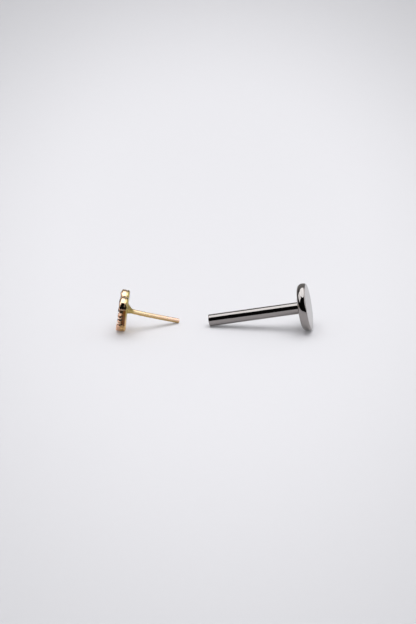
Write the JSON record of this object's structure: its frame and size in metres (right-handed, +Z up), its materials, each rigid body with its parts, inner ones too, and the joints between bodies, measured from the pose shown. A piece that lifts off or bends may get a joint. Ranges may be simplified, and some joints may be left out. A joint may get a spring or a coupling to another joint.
{
  "type": "flat back stud earring, taken apart",
  "caption": "Small gold heart top set with cut stones, on a thin bent pin, beside its polished steel post with a round flat disc, taken apart.",
  "frame": {"origin": "on the floor, under the middle of the whole part's box", "axes": "+X runs along both pieces from the heart to the disc, +Y points away from the viewer of the picture, +Z is up"},
  "size_m": [0.0165, 0.0042, 0.004],
  "materials": {
    "polished_steel": "mirror-polished surgical steel with faint drawing lines along the tube",
    "gold": "polished 14 carat yellow gold",
    "clear_stone": "clear cut stone, polished facets"
  },
  "bodies": {
    "root": {"flat_back_post": "polished_steel", "heart_setting": "gold", "stone_01": "clear_stone", "stone_02": "clear_stone", "stone_03": "clear_stone", "stone_04": "clear_stone", "stone_05": "clear_stone", "stone_06": "clear_stone", "stone_07": "clear_stone", "stone_08": "clear_stone", "stone_09": "clear_stone", "stone_10": "clear_stone", "stone_11": "clear_stone", "stone_12": "clear_stone"}
  },
  "joints": []
}
